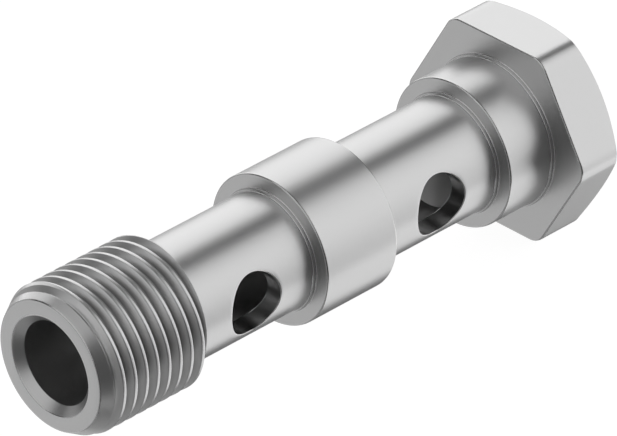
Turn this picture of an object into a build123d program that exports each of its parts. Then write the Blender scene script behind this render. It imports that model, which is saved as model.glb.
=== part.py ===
from build123d import *
from math import isclose, radians, tan
import os

# Double banjo bolt, turned from one hexagon bar and drilled from its threaded end.
# Its axis lies along X. The seat under the head is at X = 0 and the threaded end points to +X.
# Two flats of the head face up and down, so the bolt lies on one of them.
# All sizes are in millimetres and all angles in degrees.

# Head
HEAD_ACROSS_FLATS = 13.0
HEAD_HEIGHT = 3.7
HEAD_CORNER_RADIUS = 1.2
HEAD_TOP_DIAMETER = 12.35
HEAD_CHAMFER_ANGLE = 30.0

# Shank, from the seat to the threaded end
HEAD_COLLAR_DIAMETER = 9.8
HEAD_COLLAR_WIDTH = 3.7
NECK_DIAMETER = 7.7
HEAD_NECK_LENGTH = 9.7
MIDDLE_COLLAR_DIAMETER = 9.8
MIDDLE_COLLAR_WIDTH = 5.85
THREAD_NECK_LENGTH = 9.6
THREAD_MAJOR_DIAMETER = 9.728
THREAD_LENGTH = 8.35
END_FACE_DIAMETER = 8.4
END_CHAMFER_ANGLE = 30.0

# Passages. The setback is from the shoulder at the head end of a neck to the axis of its cross hole.
BORE_DIAMETER = 5.4
BORE_RUN_PAST_HOLE = 0.75
DRILL_POINT_ANGLE = 118.0
COUNTERSINK_DIAMETER = 6.45
COUNTERSINK_ANGLE = 90.0
CROSS_HOLE_DIAMETER = 4.0
CROSS_HOLE_SETBACK = 4.85

# Broken edges of the head and the collars, and the tool's nose radius at the foot of each shoulder
EDGE_BREAK = 0.15
ROOT_FILLET = 0.2

# Places along the axis
head_neck_start = HEAD_COLLAR_WIDTH
middle_collar_start = head_neck_start + HEAD_NECK_LENGTH
thread_neck_start = middle_collar_start + MIDDLE_COLLAR_WIDTH
thread_start = thread_neck_start + THREAD_NECK_LENGTH
thread_end = thread_start + THREAD_LENGTH
head_hole_place = head_neck_start + CROSS_HOLE_SETBACK
thread_hole_place = thread_neck_start + CROSS_HOLE_SETBACK
bore_end = head_hole_place - CROSS_HOLE_DIAMETER / 2 - BORE_RUN_PAST_HOLE


def head():
    """Hexagon head with rounded corners, its outer end turned to a blunt cone."""
    hexagon = RegularPolygon(HEAD_ACROSS_FLATS / 2, 6, major_radius=False)
    hexagon = fillet(hexagon.vertices(), HEAD_CORNER_RADIUS)
    prism = extrude(Plane.YZ * hexagon, -HEAD_HEIGHT)
    prism = chamfer(prism.faces().sort_by(Axis.X)[-1].edges(), EDGE_BREAK)
    return prism & turned_end()


def turned_end():
    """Cone that the lathe leaves on the head's outer end."""
    top_radius = HEAD_TOP_DIAMETER / 2
    seat_radius = top_radius + HEAD_HEIGHT / tan(radians(HEAD_CHAMFER_ANGLE))
    outline = Polyline(
        (-HEAD_HEIGHT, 0),
        (-HEAD_HEIGHT, top_radius),
        (0, seat_radius),
        (0, 0),
        close=True,
    )
    return revolve(make_face(outline), Axis.X)


def shank():
    """Collars, necks and thread cylinder as one turned profile, with filleted roots and broken edges."""
    head_collar = HEAD_COLLAR_DIAMETER / 2
    neck = NECK_DIAMETER / 2
    middle_collar = MIDDLE_COLLAR_DIAMETER / 2
    thread = THREAD_MAJOR_DIAMETER / 2
    end_face = END_FACE_DIAMETER / 2
    chamfer_start = thread_end - (thread - end_face) / tan(radians(END_CHAMFER_ANGLE))
    roots = [
        (head_neck_start, neck),
        (middle_collar_start, neck),
        (thread_neck_start, neck),
        (thread_start, neck),
    ]
    edges = [
        (head_neck_start, head_collar),
        (middle_collar_start, middle_collar),
        (thread_neck_start, middle_collar),
    ]
    outline = Polyline(
        (0, 0),
        (0, head_collar),
        edges[0],
        roots[0],
        roots[1],
        edges[1],
        edges[2],
        roots[2],
        roots[3],
        (thread_start, thread),
        (chamfer_start, thread),
        (thread_end, end_face),
        (thread_end, 0),
        close=True,
    )
    profile = make_face(outline)
    profile = fillet(corners_at(profile, roots), ROOT_FILLET)
    profile = chamfer(corners_at(profile, edges), EDGE_BREAK)
    return revolve(profile, Axis.X)


def corners_at(profile, places):
    """The corners of a profile that lie at the given places."""
    return [
        corner
        for corner in profile.vertices()
        if any(isclose(corner.X, x) and isclose(corner.Y, y) for x, y in places)
    ]


def bore():
    """Blind bore from the threaded end, with a countersunk mouth and the drill's pointed end."""
    radius = BORE_DIAMETER / 2
    mouth_radius = COUNTERSINK_DIAMETER / 2
    mouth_depth = (mouth_radius - radius) / tan(radians(COUNTERSINK_ANGLE / 2))
    point_depth = radius / tan(radians(DRILL_POINT_ANGLE / 2))
    outline = Polyline(
        (bore_end - point_depth, 0),
        (bore_end, radius),
        (thread_end - mouth_depth, radius),
        (thread_end, mouth_radius),
        (thread_end, 0),
        close=True,
    )
    return revolve(make_face(outline), Axis.X)


def cross_hole(place):
    """Hole drilled along Y through both walls of a neck."""
    return Pos(X=place) * Cylinder(CROSS_HOLE_DIAMETER / 2, NECK_DIAMETER, rotation=(90, 0, 0))


def seat_root(bolt):
    """Circle where the head's collar meets the seat."""
    circles = bolt.edges().filter_by(GeomType.CIRCLE).filter_by_position(Axis.X, 0, 0)
    return [circle for circle in circles if isclose(circle.radius, HEAD_COLLAR_DIAMETER / 2)]


def banjo_bolt():
    """The whole bolt as one solid."""
    bolt = head() + shank()
    bolt = fillet(seat_root(bolt), ROOT_FILLET)
    bolt -= bore()
    bolt -= cross_hole(head_hole_place)
    return bolt - cross_hole(thread_hole_place)


os.makedirs("parts", exist_ok=True)
export_step(banjo_bolt(), "parts/banjo_bolt.step")
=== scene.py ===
from math import asin, atan, atan2, cos, hypot, pi, radians, sin, sqrt, tan

import bmesh
import bpy
from mathutils import Matrix, Vector

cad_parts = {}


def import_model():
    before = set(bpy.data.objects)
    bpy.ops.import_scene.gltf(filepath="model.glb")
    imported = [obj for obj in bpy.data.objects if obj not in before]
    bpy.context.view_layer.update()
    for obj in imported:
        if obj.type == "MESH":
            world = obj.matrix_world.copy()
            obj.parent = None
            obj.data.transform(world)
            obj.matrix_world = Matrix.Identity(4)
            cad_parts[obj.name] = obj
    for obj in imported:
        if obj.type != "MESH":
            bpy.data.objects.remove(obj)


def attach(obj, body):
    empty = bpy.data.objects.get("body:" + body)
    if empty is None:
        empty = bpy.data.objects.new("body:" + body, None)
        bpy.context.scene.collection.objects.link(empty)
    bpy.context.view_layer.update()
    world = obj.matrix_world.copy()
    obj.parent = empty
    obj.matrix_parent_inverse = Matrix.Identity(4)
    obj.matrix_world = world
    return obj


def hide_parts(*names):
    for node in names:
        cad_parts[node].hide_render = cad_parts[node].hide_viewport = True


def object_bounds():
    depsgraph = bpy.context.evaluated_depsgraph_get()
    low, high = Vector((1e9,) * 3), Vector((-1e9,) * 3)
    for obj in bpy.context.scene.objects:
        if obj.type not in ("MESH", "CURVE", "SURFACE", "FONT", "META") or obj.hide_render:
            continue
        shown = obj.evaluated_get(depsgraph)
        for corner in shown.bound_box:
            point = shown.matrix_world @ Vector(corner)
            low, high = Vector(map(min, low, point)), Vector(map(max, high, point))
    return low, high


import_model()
cad_low, cad_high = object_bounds()

# The bolt is shaped in millimetres, with its axis along X and the seat at X = 0. Its mesh is
# scaled to metres last.
MILLIMETRE = 0.001

# Head
HEAD_SIDES = 6
HEAD_ACROSS_FLATS = 13.0
HEAD_HEIGHT = 3.7
HEAD_CORNER_RADIUS = 1.2
HEAD_TOP_RADIUS = 6.175
HEAD_CHAMFER_SLOPE = tan(radians(30))

# Collars and necks
COLLAR_RADIUS = 4.9
NECK_RADIUS = 3.85
HEAD_COLLAR_END = 3.7
MIDDLE_COLLAR_START = 13.4
MIDDLE_COLLAR_END = 19.25

# Thread
THREAD_START = 28.85
THREAD_END = 37.2
THREAD_MAJOR_RADIUS = 4.864
THREAD_PITCH = 0.907
THREAD_FLANK_ANGLE = radians(55)
THREAD_CREST_WIDTH = 0.225
THREAD_CREST_ROUNDING = 0.08
THREAD_ROOT_ROUNDING = 0.125
THREAD_CREST_PLACE = 35.805
END_FACE_RADIUS = 4.2
END_CHAMFER_SLOPE = tan(radians(30))

# Passages
BORE_RADIUS = 2.7
BORE_END = 5.8
DRILL_POINT_SLOPE = tan(radians(59))
COUNTERSINK_RADIUS = 3.225
COUNTERSINK_SLOPE = tan(radians(45))
CROSS_HOLE_RADIUS = 2.0
CROSS_HOLE_PLACES = (8.55, 24.1)

# Roundings of the edges, and the small step at the foot of each shoulder
EDGE_ROUNDING = 0.09
END_ROUNDING = 0.1
MOUTH_ROUNDING = 0.1
HOLE_RIM_ROUNDING = 0.06
BORE_RIM_ROUNDING = 0.04
FOOT_LENGTH = 0.18
FOOT_HEIGHT = 0.1
FOOT_ROUNDING = 0.07

# Width of the narrow faces beside a rounding, which keep the shading of the long faces even
BORDER = 0.04

# Where the shells meet: circles in the flat rings, the head's loop in its ring as a share of its
# outline, the distance from a neck's shoulders to its pierced stretch, and half the length of the
# pierced stretches of the bore
SEAT_RING_RADIUS = 5.6
THREAD_BACK_RING_RADIUS = 4.2
END_RING_RADIUS = 3.6
HEAD_SEAT_SHARE = 0.92
NECK_MARGIN = 0.5
BORE_REACH = CROSS_HOLE_RADIUS + 0.2

# Patches round the cross holes, in the necks and in the bore: half their length, the mesh's cells
# across them, and its rows between them and the ends of their stretch
NECK_PATCH = 2.65
NECK_PATCH_CELLS = 28
NECK_ROWS = 8
BORE_PATCH = CROSS_HOLE_RADIUS + 0.1
BORE_PATCH_CELLS = 40
BORE_ROWS = 1

# Fineness of the mesh
STEPS_ROUND = 128
ROUNDING_STEPS = 4
ARC_STEPS = 3
PATCH_RINGS = 5
HEAD_CORNER_STEPS = 8
HEAD_FLAT_CUTS = 15
CUT_TOLERANCE = 0.00001
WELD = 0.003
SHARP_ANGLE = radians(28)

# Slanting direction along which vertices are put in order before they are merged, so that each
# run gives the same mesh
MERGE_ORDER = Vector((1.0, 0.377, 0.141))

# Plating: the share of the light that it sends back and its roughness, on the outside, in the
# thread's grooves, on roundings, in the bore and on the walls of the cross holes. The lower shares
# in the grooves, the bore and the walls are painted shade, which darkens these hollows.
REFLECTANCE = 0.75
GROOVE_SHADE_REFLECTANCE = 0.42
BORE_SHADE_REFLECTANCE = 0.5
WALL_SHADE_REFLECTANCE = 0.72
ROUGHNESS = 0.36
ROUNDING_ROUGHNESS = 0.2
BORE_ROUGHNESS = 0.45
WALL_ROUGHNESS = 0.2

# Fine marks that the tools leave, and the grain of the plating. The height of the marks is in
# metres.
MARKS_PER_MILLIMETRE = 9.0
MARK_DETAIL = 3.0
MARK_ROUGHNESS = 0.05
MARK_HEIGHT = 0.0000015
GRAIN_PER_MILLIMETRE = 5.0
GRAIN_DETAIL = 4.0
GRAIN_ROUGHNESS = 0.06
NOISE_ROUGHNESS = 0.6
NOISE_MEAN = 0.5

# Ranges over which one finish, or the painted shade of the hollows, gives way to another, first
# those along X and then those outwards from the axis
BORE_START_RANGE = (BORE_END - 0.05, BORE_END + 0.05)
BORE_MOUTH_RANGE = (THREAD_END - 0.6, THREAD_END - 0.45)
HEAD_RANGE = (-0.1, -0.05)
GROOVE_SHADE_START_RANGE = (THREAD_START, THREAD_START + 0.1)
GROOVE_SHADE_END_RANGE = (THREAD_END - 1.3, THREAD_END - 1.1)
BORE_RANGE = (BORE_RADIUS + 0.01, BORE_RADIUS + 0.03)
WALL_RANGE = (NECK_RADIUS - 0.02, NECK_RADIUS - 0.01)
FLATS_RANGE = (HEAD_TOP_RADIUS, HEAD_TOP_RADIUS + 0.2)
GROOVE_SHADE_RANGE = (THREAD_MAJOR_RADIUS - 0.1, THREAD_MAJOR_RADIUS - 0.6)

# Camera, whose place is in metres from the centre of the threaded end
CAMERA_AZIMUTH = radians(135)
CAMERA_ELEVATION = radians(32.0095)
CAMERA_LENS = 494.4
CAMERA_RIGHT = 0.015012
CAMERA_UP = 0.008622
CAMERA_DISTANCE = 0.4917
CAMERA_CLIP_START = 0.01
CAMERA_CLIP_END = 10.0

# Floor and surroundings
FLOOR_SIZE = 4.0
FLOOR_REFLECTANCE = 0.25
FLOOR_ROUGHNESS = 0.9
FLOOR_GLOW = 0.93
AMBIENT = 0.06
WHITE = (1.0, 1.0, 1.0, 1.0)

# Soft panels at one distance from the middle of the bolt. Each has the azimuth, elevation and
# roll of its middle in degrees, half its width and height as shares of the distance, and its
# radiance.
PANEL_DISTANCE = 0.6
PANEL_TARGET = Vector((0.017, 0, 0))
PANELS = {
    "back_panel": (-119.5, 28.0, -7.0, 0.61, 0.61, 1.06),
    "side_panel": (144.6, 10.6, 17.7, 0.56, 0.96, 0.89),
    "front_fill": (-24.5, -54.6, 64.6, 1.67, 0.75, 0.21),
    "end_panel": (0.9, 37.7, -2.6, 0.73, 0.76, 0.50),
    "low_back_fill": (-86.5, -31.2, 31.1, 0.99, 0.79, 0.32),
    "low_side_panel": (161.1, -43.3, 26.4, 1.52, 0.30, 0.81),
}


def is_at(vertex, x, radius):
    """Whether a vertex lies on the circle of that place and radius."""
    return abs(vertex.co.x - x) < WELD and abs(hypot(vertex.co.y, vertex.co.z) - radius) < WELD


def round_edges(shell, edges, radius):
    """Rounds a loop of edges that all turn by the same angle.

    The new faces get material 1, which marks a rounding.
    """
    turn = edges[0].calc_face_angle()
    bmesh.ops.bevel(
        shell,
        geom=edges,
        offset=radius * tan(turn / 2),
        offset_type="OFFSET",
        segments=ROUNDING_STEPS,
        profile=0.5,
        affect="EDGES",
        clamp_overlap=False,
        material=1,
    )


def with_borders(outline, roundings):
    """The outline with a point added on each side of its roundings."""
    sizes = dict(roundings)
    points = []
    for start, end in zip(outline, outline[1:]):
        length = hypot(end[0] - start[0], end[1] - start[1])
        after = (sizes[start] + BORDER) / length if start in sizes else 0
        before = 1 - (sizes[end] + BORDER) / length if end in sizes else 1
        points.append(start)
        for share in (after, before):
            if 0 < share < 1:
                x = start[0] + (end[0] - start[0]) * share
                radius = start[1] + (end[1] - start[1]) * share
                points.append((x, radius))
    return [*points, outline[-1]]


def turned(outline, roundings=()):
    """Shell of revolution about X. Each rounding is one of the outline's points and a radius."""
    shell = bmesh.new()
    points = [shell.verts.new((x, radius, 0)) for x, radius in with_borders(outline, roundings)]
    lines = [shell.edges.new(pair) for pair in zip(points, points[1:])]
    bmesh.ops.spin(
        shell,
        geom=points + lines,
        cent=(0, 0, 0),
        axis=(1, 0, 0),
        angle=2 * pi,
        steps=STEPS_ROUND,
        use_merge=True,
    )
    bmesh.ops.remove_doubles(shell, verts=shell.verts, dist=WELD)
    bmesh.ops.recalc_face_normals(shell, faces=shell.faces)
    for (x, radius), rounding in roundings:
        ring = [e for e in shell.edges if all(is_at(v, x, radius) for v in e.verts)]
        round_edges(shell, ring, rounding)
    return shell


def extrude_edges(shell, edges, step):
    """Extrudes edges, moves the new vertices by a step and returns them."""
    made = bmesh.ops.extrude_edge_only(shell, edges=edges)["geom"]
    new = [part for part in made if isinstance(part, bmesh.types.BMVert)]
    bmesh.ops.translate(shell, verts=new, vec=step)
    return new


def extrude_loop(shell, loop, place, material=0):
    """Extrudes an ordered loop of vertices and returns the new loop.

    The new vertex of each step is moved to place(step). The new faces get the material, which is
    1 in a rounding.
    """
    count = len(loop)
    edges = [shell.edges.get((loop[i], loop[(i + 1) % count])) for i in range(count)]
    made = bmesh.ops.extrude_edge_only(shell, edges=edges)["geom"]
    for part in made:
        if isinstance(part, bmesh.types.BMFace):
            part.material_index = material
    new = {part for part in made if isinstance(part, bmesh.types.BMVert)}
    partner = {}
    for vertex in new:
        for edge in vertex.link_edges:
            other = edge.other_vert(vertex)
            if other not in new:
                partner[other] = vertex
    following = [partner[vertex] for vertex in loop]
    for step, vertex in enumerate(following):
        vertex.co = place(step)
    return following


def turn_of(step):
    """Angle round a cross hole, whose loops have as many steps as the bolt."""
    return 2 * pi * step / STEPS_ROUND


def on_wall(radius, place, opening, side, step):
    """Point where a cylinder about a cross hole's axis meets a cylinder about the bolt's axis."""
    x = place + opening * cos(turn_of(step))
    height = opening * sin(turn_of(step))
    return Vector((x, side * sqrt(radius**2 - height**2), side * height))


def pierced_tube(radius, start, end, place, opening, half_patch, cells_round, margin_rows):
    """Tube about X with a hole in each side, and the loops of vertices round its two holes.

    It is a flat sheet of X and angle: a patch is cut out at each hole and filled with rings that
    pass from the patch's rectangle to the hole's curve, and then the sheet is rolled up.
    """
    shell = bmesh.new()
    patch_rows = STEPS_ROUND // 2 - cells_round
    rows = patch_rows + 2 * margin_rows
    bmesh.ops.create_grid(shell, x_segments=rows, y_segments=STEPS_ROUND, size=1.0)
    half_turn = pi * cells_round / STEPS_ROUND
    patch_start = place - half_patch
    patch_end = place + half_patch
    for vertex in shell.verts:
        row = (vertex.co.x + 1) / 2 * rows
        if row < margin_rows:
            x = start + (patch_start - start) * row / margin_rows
        elif row > margin_rows + patch_rows:
            x = patch_end + (end - patch_end) * (row - margin_rows - patch_rows) / margin_rows
        else:
            x = patch_start + 2 * half_patch * (row - margin_rows) / patch_rows
        vertex.co = (x, pi * (vertex.co.y + 0.5), 0)

    def in_patch(point, angle, slack):
        along = abs(point.x - place)
        around = abs(point.y - angle)
        return along < half_patch + slack and around < half_turn + slack

    angles = (0, pi)
    patches = [
        f
        for f in shell.faces
        if any(in_patch(f.calc_center_median(), angle, 0) for angle in angles)
    ]
    bmesh.ops.delete(shell, geom=patches, context="FACES")
    loops = []
    for angle in angles:
        border = {
            v
            for e in shell.edges
            if e.is_boundary
            for v in e.verts
            if in_patch(v.co, angle, WELD)
        }

        def turn_at(vertex):
            turn = atan2((vertex.co.y - angle) / half_turn, (vertex.co.x - place) / half_patch)
            return (turn + turn_of(0.5)) % (2 * pi)

        loop = sorted(border, key=turn_at)
        corners = [v.co.copy() for v in loop]

        def curve(step):
            height = opening * sin(turn_of(step))
            return Vector((place + opening * cos(turn_of(step)), angle + asin(height / radius), 0))

        for ring in range(1, PATCH_RINGS + 1):
            share = ring / PATCH_RINGS
            loop = extrude_loop(shell, loop, lambda step: corners[step].lerp(curve(step), share))
        loops.append(loop)
    for vertex in shell.verts:
        x, angle, _ = vertex.co
        vertex.co = (x, radius * cos(angle), radius * sin(angle))
    bmesh.ops.remove_doubles(shell, verts=shell.verts, dist=WELD)
    return shell, loops


def hole_stages():
    """Loops from the neck down the wall of a cross hole to the bore, after the first.

    Each has its distance from the bolt's axis, its distance from the hole's axis and the material
    of the faces that lead to it.
    """
    turns = [pi / 2 * step / ROUNDING_STEPS for step in range(1, ROUNDING_STEPS + 1)]
    stages = []
    for turn in turns:
        depth = HOLE_RIM_ROUNDING * (1 - cos(turn))
        inset = HOLE_RIM_ROUNDING * sin(turn)
        stages.append((NECK_RADIUS - depth, CROSS_HOLE_RADIUS + HOLE_RIM_ROUNDING - inset, 1))
    stages += [
        (NECK_RADIUS - HOLE_RIM_ROUNDING - BORDER, CROSS_HOLE_RADIUS, 0),
        (BORE_RADIUS + BORE_RIM_ROUNDING + BORDER, CROSS_HOLE_RADIUS, 0),
        (BORE_RADIUS + BORE_RIM_ROUNDING, CROSS_HOLE_RADIUS, 0),
    ]
    for turn in turns:
        height = BORE_RIM_ROUNDING * (1 - sin(turn))
        flare = BORE_RIM_ROUNDING * (1 - cos(turn))
        stages.append((BORE_RADIUS + height, CROSS_HOLE_RADIUS + flare, 1))
    return stages


def neck(start, end, place):
    """Neck with a cross hole in both walls. The hole has rounded rims and runs to the bore."""
    shell, loops = pierced_tube(
        NECK_RADIUS,
        start,
        end,
        place,
        opening=CROSS_HOLE_RADIUS + HOLE_RIM_ROUNDING,
        half_patch=NECK_PATCH,
        cells_round=NECK_PATCH_CELLS,
        margin_rows=NECK_ROWS,
    )
    for side, loop in zip((1, -1), loops):
        for radius, opening, material in hole_stages():
            loop = extrude_loop(
                shell,
                loop,
                lambda step: on_wall(radius, place, opening, side, step),
                material,
            )
    return shell


def pierced_bore(place):
    """Stretch of the bore that both walls of a cross hole run into."""
    return pierced_tube(
        BORE_RADIUS,
        place - BORE_REACH,
        place + BORE_REACH,
        place,
        opening=CROSS_HOLE_RADIUS + BORE_RIM_ROUNDING,
        half_patch=BORE_PATCH,
        cells_round=BORE_PATCH_CELLS,
        margin_rows=BORE_ROWS,
    )[0]


def lean(shell, slope):
    """Moves each vertex along X by slope times its distance from the axis.

    This makes a cone a plane.
    """
    for vertex in shell.verts:
        vertex.co.x += slope * hypot(vertex.co.y, vertex.co.z)


def cut(shell, x, clear_below=False, clear_above=False):
    """Cuts a shell at a plane square to the axis."""
    bmesh.ops.bisect_plane(
        shell,
        geom=[*shell.verts, *shell.edges, *shell.faces],
        dist=CUT_TOLERANCE,
        plane_co=(x, 0, 0),
        plane_no=(1, 0, 0),
        clear_inner=clear_below,
        clear_outer=clear_above,
    )


def thread_outline():
    """One pitch of the thread's outline, from the middle of one crest to the middle of the next.

    The crests are flat with eased edges, and the root is rounded.
    """
    half_flank = THREAD_FLANK_ANGLE / 2
    turn = pi / 2 - half_flank
    crest_end = THREAD_CREST_WIDTH / 2 - THREAD_CREST_ROUNDING * tan(turn / 2)
    crest_centre = THREAD_MAJOR_RADIUS - THREAD_CREST_ROUNDING
    sharp_root = THREAD_MAJOR_RADIUS - (THREAD_PITCH - THREAD_CREST_WIDTH) / 2 / tan(half_flank)
    root_centre = sharp_root + THREAD_ROOT_ROUNDING / sin(half_flank)
    angles = [turn * step / ARC_STEPS for step in range(ARC_STEPS + 1)]
    front = [(0, THREAD_MAJOR_RADIUS)]
    for angle in angles:
        x = crest_end + THREAD_CREST_ROUNDING * sin(angle)
        front.append((x, crest_centre + THREAD_CREST_ROUNDING * cos(angle)))
    for angle in reversed(angles):
        x = THREAD_PITCH / 2 - THREAD_ROOT_ROUNDING * sin(angle)
        front.append((x, root_centre - THREAD_ROOT_ROUNDING * cos(angle)))
    return front + [(THREAD_PITCH - x, radius) for x, radius in reversed(front[:-1])]


def thread():
    """Right-hand helix, cut square behind and turned to a cone in front."""
    shell = bmesh.new()
    points = [shell.verts.new((x, radius, 0)) for x, radius in thread_outline()]
    lines = [shell.edges.new(pair) for pair in zip(points, points[1:])]
    bmesh.ops.spin(
        shell,
        geom=points + lines,
        cent=(0, 0, 0),
        axis=(1, 0, 0),
        dvec=(THREAD_PITCH / STEPS_ROUND, 0, 0),
        angle=2 * pi,
        steps=STEPS_ROUND,
        use_merge=False,
    )
    turns_before = int((THREAD_CREST_PLACE - THREAD_START) / THREAD_PITCH) + 2
    turns_after = int((THREAD_END - THREAD_CREST_PLACE) / THREAD_PITCH) + 1
    first_turn = [*shell.verts, *shell.edges, *shell.faces]
    for turn in range(1, turns_before + turns_after):
        copied = bmesh.ops.duplicate(shell, geom=first_turn)["geom"]
        moved = [part for part in copied if isinstance(part, bmesh.types.BMVert)]
        bmesh.ops.translate(shell, verts=moved, vec=(turn * THREAD_PITCH, 0, 0))
    first_crest = THREAD_CREST_PLACE - turns_before * THREAD_PITCH
    bmesh.ops.translate(shell, verts=shell.verts, vec=(first_crest, 0, 0))
    bmesh.ops.remove_doubles(shell, verts=shell.verts, dist=WELD)
    cut(shell, THREAD_START, clear_below=True)
    cone_slope = 1 / END_CHAMFER_SLOPE
    lean(shell, cone_slope)
    cut(shell, THREAD_END + END_FACE_RADIUS * cone_slope)
    lean(shell, -cone_slope)
    cut(shell, THREAD_END, clear_above=True)
    turn = pi / 2 - atan(END_CHAMFER_SLOPE)
    centre_x = THREAD_END - END_ROUNDING
    centre_radius = END_FACE_RADIUS - END_ROUNDING * tan(turn / 2)
    for step in range(1, ROUNDING_STEPS + 1):
        cut(shell, centre_x + END_ROUNDING * cos(turn * step / ROUNDING_STEPS))
    rounding_start = centre_x + END_ROUNDING * cos(turn)
    for face in shell.faces:
        if face.calc_center_median().x > rounding_start:
            face.material_index = 1
    for vertex in shell.verts:
        x, y, z = vertex.co
        if x > rounding_start:
            limit = centre_radius + sqrt(max(0, END_ROUNDING**2 - (x - centre_x) ** 2))
        else:
            limit = END_FACE_RADIUS + (THREAD_END - x) * END_CHAMFER_SLOPE
        share = limit / hypot(y, z)
        if share < 1:
            vertex.co = (x, y * share, z * share)
    return shell


def head():
    """Hexagon with rounded corners, a rounded seat edge and a blunt cone on its outer end."""
    shell = bmesh.new()
    half_side_angle = pi / HEAD_SIDES
    corner_distance = HEAD_ACROSS_FLATS / 2 / cos(half_side_angle)
    bmesh.ops.create_circle(shell, cap_ends=False, segments=HEAD_SIDES, radius=corner_distance)
    square_to_x = Matrix.Rotation(pi / 2, 3, "Y")
    bmesh.ops.rotate(shell, verts=shell.verts, cent=(0, 0, 0), matrix=square_to_x)
    extrude_edges(shell, shell.edges[:], (-HEAD_HEIGHT, 0, 0))
    corners = [e for e in shell.edges if abs(e.verts[0].co.x - e.verts[1].co.x) > HEAD_HEIGHT / 2]
    bmesh.ops.bevel(
        shell,
        geom=corners,
        offset=HEAD_CORNER_RADIUS * tan(half_side_angle),
        offset_type="OFFSET",
        segments=HEAD_CORNER_STEPS,
        profile=0.5,
        affect="EDGES",
        clamp_overlap=False,
        material=-1,
    )
    flats = [e for e in shell.edges if e.is_boundary and e.calc_length() > HEAD_CORNER_RADIUS]
    bmesh.ops.subdivide_edges(shell, edges=flats, cuts=HEAD_FLAT_CUTS, use_grid_fill=True)
    seat_edges = [e for e in shell.edges if e.is_boundary and e.verts[0].co.x > -WELD]
    border = EDGE_ROUNDING + BORDER
    ring = seat_edges
    for share in (1 - border / (HEAD_ACROSS_FLATS / 2), HEAD_SEAT_SHARE):
        new = set(extrude_edges(shell, ring, (0, 0, 0)))
        for vertex in new:
            vertex.co *= share
        ring = [e for e in shell.edges if e.is_boundary and new.issuperset(e.verts)]
    bmesh.ops.recalc_face_normals(shell, faces=shell.faces)
    round_edges(shell, [e for e in shell.edges if e in set(seat_edges)], EDGE_ROUNDING)
    cut(shell, -border)
    lean(shell, -HEAD_CHAMFER_SLOPE)
    cut(shell, -HEAD_HEIGHT - HEAD_TOP_RADIUS * HEAD_CHAMFER_SLOPE, clear_below=True)
    lean(shell, HEAD_CHAMFER_SLOPE)
    cone_edges = [e for e in shell.edges if e.is_boundary and e.verts[0].co.x < -HEAD_HEIGHT / 2]
    for vertex in extrude_edges(shell, cone_edges, (0, 0, 0)):
        share = HEAD_TOP_RADIUS / hypot(vertex.co.y, vertex.co.z)
        vertex.co = (-HEAD_HEIGHT, vertex.co.y * share, vertex.co.z * share)
    top = [e for e in shell.edges if e.is_boundary and e.verts[0].co.x < -HEAD_HEIGHT / 2]
    bmesh.ops.contextual_create(shell, geom=top)
    return shell


def fill_plane(bolt, x):
    """Closes the flat ring between the two open loops that lie in the plane X = x."""
    edges = [
        e
        for e in bolt.edges
        if e.is_boundary and all(abs(v.co.x - x) < WELD for v in e.verts)
    ]
    bmesh.ops.triangle_fill(bolt, use_beauty=True, edges=edges, normal=(1, 0, 0))


def foot(x, radius, side):
    """Outline of the small step at a shoulder's foot, from the shoulder to the cylinder.

    Side is 1 where the cylinder is on the shoulder's +X side, and -1 on its -X side.
    """
    end = x + side * FOOT_LENGTH
    return [(x, radius + FOOT_HEIGHT), (end, radius + FOOT_HEIGHT), (end, radius)]


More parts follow.
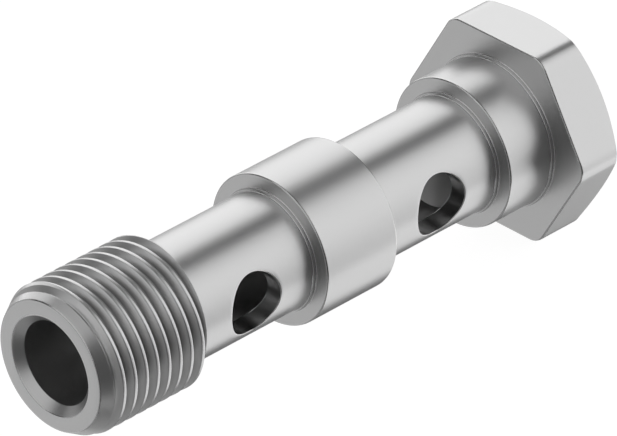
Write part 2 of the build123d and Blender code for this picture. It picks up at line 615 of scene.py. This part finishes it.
def shells():
    """All the bolt's surfaces, which meet at shared circles or are closed by flat rings."""
    hole_1, hole_2 = CROSS_HOLE_PLACES
    seat_foot = foot(0, COLLAR_RADIUS, 1)
    head_neck_foot = foot(HEAD_COLLAR_END, NECK_RADIUS, 1)
    middle_foot_1 = foot(MIDDLE_COLLAR_START, NECK_RADIUS, -1)
    middle_foot_2 = foot(MIDDLE_COLLAR_END, NECK_RADIUS, 1)
    thread_foot = foot(THREAD_START, NECK_RADIUS, -1)
    return [
        head(),
        turned(
            [
                (0, SEAT_RING_RADIUS),
                *seat_foot,
                (HEAD_COLLAR_END, COLLAR_RADIUS),
                *head_neck_foot,
                (HEAD_COLLAR_END + NECK_MARGIN, NECK_RADIUS),
            ],
            [
                (seat_foot[0], FOOT_ROUNDING),
                (seat_foot[2], FOOT_ROUNDING),
                ((HEAD_COLLAR_END, COLLAR_RADIUS), EDGE_ROUNDING),
                (head_neck_foot[0], FOOT_ROUNDING),
                (head_neck_foot[2], FOOT_ROUNDING),
            ],
        ),
        neck(HEAD_COLLAR_END + NECK_MARGIN, MIDDLE_COLLAR_START - NECK_MARGIN, hole_1),
        turned(
            [
                (MIDDLE_COLLAR_START - NECK_MARGIN, NECK_RADIUS),
                *reversed(middle_foot_1),
                (MIDDLE_COLLAR_START, COLLAR_RADIUS),
                (MIDDLE_COLLAR_END, COLLAR_RADIUS),
                *middle_foot_2,
                (MIDDLE_COLLAR_END + NECK_MARGIN, NECK_RADIUS),
            ],
            [
                (middle_foot_1[2], FOOT_ROUNDING),
                (middle_foot_1[0], FOOT_ROUNDING),
                ((MIDDLE_COLLAR_START, COLLAR_RADIUS), EDGE_ROUNDING),
                ((MIDDLE_COLLAR_END, COLLAR_RADIUS), EDGE_ROUNDING),
                (middle_foot_2[0], FOOT_ROUNDING),
                (middle_foot_2[2], FOOT_ROUNDING),
            ],
        ),
        neck(MIDDLE_COLLAR_END + NECK_MARGIN, THREAD_START - NECK_MARGIN, hole_2),
        turned(
            [
                (THREAD_START - NECK_MARGIN, NECK_RADIUS),
                *reversed(thread_foot),
                (THREAD_START, THREAD_BACK_RING_RADIUS),
            ],
            [(thread_foot[2], FOOT_ROUNDING), (thread_foot[0], FOOT_ROUNDING)],
        ),
        thread(),
        turned(
            [
                (THREAD_END, END_RING_RADIUS),
                (THREAD_END, COUNTERSINK_RADIUS),
                (THREAD_END - (COUNTERSINK_RADIUS - BORE_RADIUS) / COUNTERSINK_SLOPE, BORE_RADIUS),
                (hole_2 + BORE_REACH, BORE_RADIUS),
            ],
            [((THREAD_END, COUNTERSINK_RADIUS), MOUTH_ROUNDING)],
        ),
        pierced_bore(hole_2),
        turned([(hole_2 - BORE_REACH, BORE_RADIUS), (hole_1 + BORE_REACH, BORE_RADIUS)]),
        pierced_bore(hole_1),
        turned(
            [
                (hole_1 - BORE_REACH, BORE_RADIUS),
                (BORE_END, BORE_RADIUS),
                (BORE_END - BORE_RADIUS / DRILL_POINT_SLOPE, 0),
            ]
        ),
    ]


def bolt_mesh():
    """The whole bolt as one closed mesh, in metres.

    Its attribute named rounding is 1 on the faces of roundings.
    """
    bolt = bmesh.new()
    for shell in shells():
        mesh = bpy.data.meshes.new("shell")
        shell.to_mesh(mesh)
        shell.free()
        bolt.from_mesh(mesh)
        bpy.data.meshes.remove(mesh)
    bolt.verts.sort(key=lambda vertex: vertex.co.dot(MERGE_ORDER))
    bmesh.ops.remove_doubles(bolt, verts=bolt.verts, dist=WELD)
    for x in (0, THREAD_START, THREAD_END):
        fill_plane(bolt, x)
    bmesh.ops.recalc_face_normals(bolt, faces=bolt.faces)
    rounding = bolt.faces.layers.float.new("rounding")
    for face in bolt.faces:
        face.smooth = True
        face[rounding] = face.material_index
        face.material_index = 0
    for edge in bolt.edges:
        edge.smooth = edge.calc_face_angle(0) < SHARP_ANGLE
    bmesh.ops.scale(bolt, verts=bolt.verts, vec=(MILLIMETRE,) * 3)
    mesh = bpy.data.meshes.new("bolt")
    bolt.to_mesh(mesh)
    bolt.free()
    return mesh


class Socket:
    """A shader value that arithmetic works on."""

    def __init__(self, nodes, output):
        self.nodes = nodes
        self.output = output

    def __add__(self, other):
        return self.nodes.math("ADD", self, other)

    __radd__ = __add__

    def __mul__(self, other):
        return self.nodes.math("MULTIPLY", self, other)

    __rmul__ = __mul__

    def __sub__(self, other):
        return self.nodes.math("SUBTRACT", self, other)

    def __rsub__(self, other):
        return self.nodes.math("SUBTRACT", other, self)

    def power(self, exponent):
        return self.nodes.math("POWER", self, exponent)


class Nodes:
    """A material's or world's node tree."""

    def __init__(self, owner):
        owner.use_nodes = True
        self.tree = owner.node_tree
        self.tree.nodes.clear()

    def add(self, kind, settings=None, **inputs):
        """Adds a node: first its settings, then the values or links of its sockets.

        A socket is given by its name or by its number, as in _0.
        """
        node = self.tree.nodes.new(kind)
        for name, value in (settings or {}).items():
            setattr(node, name, value)
        for name, value in inputs.items():
            key = int(name[1:]) if name[0] == "_" else name.replace("_", " ")
            socket = node.inputs[key]
            if isinstance(value, Socket):
                self.tree.links.new(value.output, socket)
            else:
                socket.default_value = value
        return node

    def value(self, kind, output, settings=None, **inputs):
        """Adds a node and wraps one of its outputs."""
        return Socket(self, self.add(kind, settings, **inputs).outputs[output])

    def math(self, operation, first, second):
        return self.value("ShaderNodeMath", 0, {"operation": operation}, _0=first, _1=second)


def smooth_step(nodes, value, start, end):
    """0 before start, 1 past end and a soft step between them.

    Where end is the smaller, it falls as value rises.
    """
    return nodes.value(
        "ShaderNodeMapRange",
        0,
        {"interpolation_type": "SMOOTHSTEP"},
        Value=value,
        From_Min=start,
        From_Max=end,
    )


def blend(start, end, share):
    """Start where share is 0, end where share is 1 and a mixture between them."""
    return start + (end - start) * share


def noise(nodes, dimensions, scale, detail, **place):
    """Noise of one or three dimensions. Its place is W or Vector, as the dimensions ask for."""
    return nodes.value(
        "ShaderNodeTexNoise",
        0,
        {"noise_dimensions": dimensions},
        Scale=scale,
        Detail=detail,
        Roughness=NOISE_ROUGHNESS,
        **place,
    )


def plated_steel():
    """Satin plated steel with polished roundings.

    It has rings left by turning and lines along the head's flats. Painted shade darkens the
    thread's grooves, the bore and the walls of the cross holes. It is rough in the bore and smooth
    on the walls of the cross holes.
    """
    material = bpy.data.materials.new("plated_steel")
    nodes = Nodes(material)
    place = nodes.value("ShaderNodeTexCoord", "Object")
    place = nodes.value(
        "ShaderNodeVectorMath",
        0,
        {"operation": "SCALE"},
        _0=place,
        Scale=1 / MILLIMETRE,
    )
    parts = nodes.add("ShaderNodeSeparateXYZ", Vector=place)
    x, y, z = [Socket(nodes, output) for output in parts.outputs]
    radius = (y * y + z * z).power(0.5)

    rounding = nodes.value("ShaderNodeAttribute", "Fac", {"attribute_name": "rounding"})
    inside = smooth_step(nodes, x, *BORE_START_RANGE) * (1 - rounding)
    inside = inside * (1 - smooth_step(nodes, x, *BORE_MOUTH_RANGE))
    # The bore and the walls of the cross holes are masked for their roughness and for their
    # painted shade.
    bore = inside * (1 - smooth_step(nodes, radius, *BORE_RANGE))
    wall = inside * (1 - smooth_step(nodes, radius, *WALL_RANGE))
    # Painted shade: the thread's grooves get darker towards their roots.
    groove_shade = smooth_step(nodes, radius, *GROOVE_SHADE_RANGE)
    groove_shade = groove_shade * smooth_step(nodes, x, *GROOVE_SHADE_START_RANGE) * (1 - bore)
    groove_shade = groove_shade * (1 - smooth_step(nodes, x, *GROOVE_SHADE_END_RANGE))
    flats = smooth_step(nodes, radius, *FLATS_RANGE) * (1 - smooth_step(nodes, x, *HEAD_RANGE))

    rings = noise(nodes, "1D", MARKS_PER_MILLIMETRE, MARK_DETAIL, W=x + radius)
    lines = noise(nodes, "1D", MARKS_PER_MILLIMETRE, MARK_DETAIL, W=y - z)
    marks = nodes.value("ShaderNodeMix", 0, Factor=flats, A=rings, B=lines)
    grain = noise(nodes, "3D", GRAIN_PER_MILLIMETRE, GRAIN_DETAIL, Vector=place)

    roughness = blend(ROUGHNESS, ROUNDING_ROUGHNESS, rounding)
    roughness = blend(roughness, WALL_ROUGHNESS, wall)
    roughness = blend(roughness, BORE_ROUGHNESS, bore)
    roughness = roughness + (marks - NOISE_MEAN) * MARK_ROUGHNESS
    roughness = roughness + (grain - NOISE_MEAN) * GRAIN_ROUGHNESS
    # Painted shade: less light is sent back in the thread's grooves, on the walls of the cross
    # holes and in the bore.
    reflectance = blend(REFLECTANCE, GROOVE_SHADE_REFLECTANCE, groove_shade)
    reflectance = blend(reflectance, WALL_SHADE_REFLECTANCE, wall)
    reflectance = blend(reflectance, BORE_SHADE_REFLECTANCE, bore)
    colour = nodes.value(
        "ShaderNodeCombineColor",
        0,
        Red=reflectance,
        Green=reflectance,
        Blue=reflectance,
    )
    normal = nodes.value("ShaderNodeBump", 0, Height=marks * MARK_HEIGHT, Distance=1.0)
    shader = nodes.value(
        "ShaderNodeBsdfPrincipled",
        "BSDF",
        Base_Color=colour,
        Metallic=1.0,
        Roughness=roughness,
        Normal=normal,
    )
    nodes.add("ShaderNodeOutputMaterial", Surface=shader)
    return material


def floor_material():
    """Pale matt floor."""
    material = bpy.data.materials.new("pale_floor")
    nodes = Nodes(material)
    shader = nodes.value(
        "ShaderNodeBsdfPrincipled",
        "BSDF",
        Base_Color=(FLOOR_REFLECTANCE, FLOOR_REFLECTANCE, FLOOR_REFLECTANCE, 1.0),
        Roughness=FLOOR_ROUGHNESS,
        Emission_Color=WHITE,
        Emission_Strength=FLOOR_GLOW,
    )
    nodes.add("ShaderNodeOutputMaterial", Surface=shader)
    return material


def show(name, mesh, material):
    """Links a finished mesh to the scene as an object."""
    mesh.materials.append(material)
    piece = bpy.data.objects.new(name, mesh)
    bpy.context.scene.collection.objects.link(piece)
    return piece


def floor():
    """Large floor that the head's lowest flat rests on.

    It lets the light of the low panels through.
    """
    sheet = bmesh.new()
    bmesh.ops.create_grid(sheet, x_segments=1, y_segments=1, size=FLOOR_SIZE / 2)
    bmesh.ops.translate(sheet, verts=sheet.verts, vec=(0, 0, cad_low.z))
    mesh = bpy.data.meshes.new("floor")
    sheet.to_mesh(mesh)
    sheet.free()
    piece = show("floor", mesh, floor_material())
    piece.visible_glossy = False
    piece.visible_shadow = False


def view_axes(azimuth, elevation):
    """Right, up and back directions of a view."""
    back = Vector((sin(azimuth) * cos(elevation), -cos(azimuth) * cos(elevation), sin(elevation)))
    right = Vector((cos(azimuth), sin(azimuth), 0))
    return right, back.cross(right), back


def camera():
    """Camera at the photograph's viewing angle."""
    right, up, back = view_axes(CAMERA_AZIMUTH, CAMERA_ELEVATION)
    lens = bpy.data.cameras.new("camera")
    lens.lens = CAMERA_LENS
    lens.clip_start = CAMERA_CLIP_START
    lens.clip_end = CAMERA_CLIP_END
    eye = bpy.data.objects.new("camera", lens)
    bpy.context.scene.collection.objects.link(eye)
    threaded_end = Vector((cad_high.x, 0, 0))
    place = threaded_end + right * CAMERA_RIGHT + up * CAMERA_UP + back * CAMERA_DISTANCE
    turn = Matrix((right, up, back)).transposed()
    eye.matrix_world = Matrix.Translation(place) @ turn.to_4x4()
    bpy.context.scene.camera = eye


def panel(name, azimuth, elevation, roll, half_width, half_height, radiance):
    """Rectangular soft light that faces the bolt."""
    away = Vector((cos(azimuth) * cos(elevation), sin(azimuth) * cos(elevation), sin(elevation)))
    level = Vector((-sin(azimuth), cos(azimuth), 0))
    upright = away.cross(level)
    width = cos(roll) * level + sin(roll) * upright
    height = cos(roll) * upright - sin(roll) * level
    light = bpy.data.lights.new(name, "AREA")
    light.shape = "RECTANGLE"
    light.size = 2 * PANEL_DISTANCE * half_width
    light.size_y = 2 * PANEL_DISTANCE * half_height
    light.energy = radiance * pi * light.size * light.size_y
    lamp = bpy.data.objects.new(name, light)
    bpy.context.scene.collection.objects.link(lamp)
    turn = Matrix((width, height, away)).transposed()
    lamp.matrix_world = Matrix.Translation(PANEL_TARGET + away * PANEL_DISTANCE) @ turn.to_4x4()


def world():
    """Even dim light from all round. The camera sees a plain white backdrop."""
    surroundings = bpy.data.worlds.new("studio")
    bpy.context.scene.world = surroundings
    nodes = Nodes(surroundings)
    dim = nodes.value("ShaderNodeBackground", 0, Color=WHITE, Strength=AMBIENT)
    backdrop = nodes.value("ShaderNodeBackground", 0, Color=WHITE, Strength=1.0)
    seen = nodes.value("ShaderNodeLightPath", "Is Camera Ray")
    shader = nodes.value("ShaderNodeMixShader", 0, _0=seen, _1=dim, _2=backdrop)
    nodes.add("ShaderNodeOutputWorld", Surface=shader)


bolt = show("plated_bolt", bolt_mesh(), plated_steel())
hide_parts("banjo_bolt")
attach(bolt, "root")
floor()
camera()
for name, (azimuth, elevation, roll, half_width, half_height, radiance) in PANELS.items():
    angles = [radians(angle) for angle in (azimuth, elevation, roll)]
    panel(name, *angles, half_width, half_height, radiance)
world()
bpy.context.scene.view_settings.view_transform = "Standard"
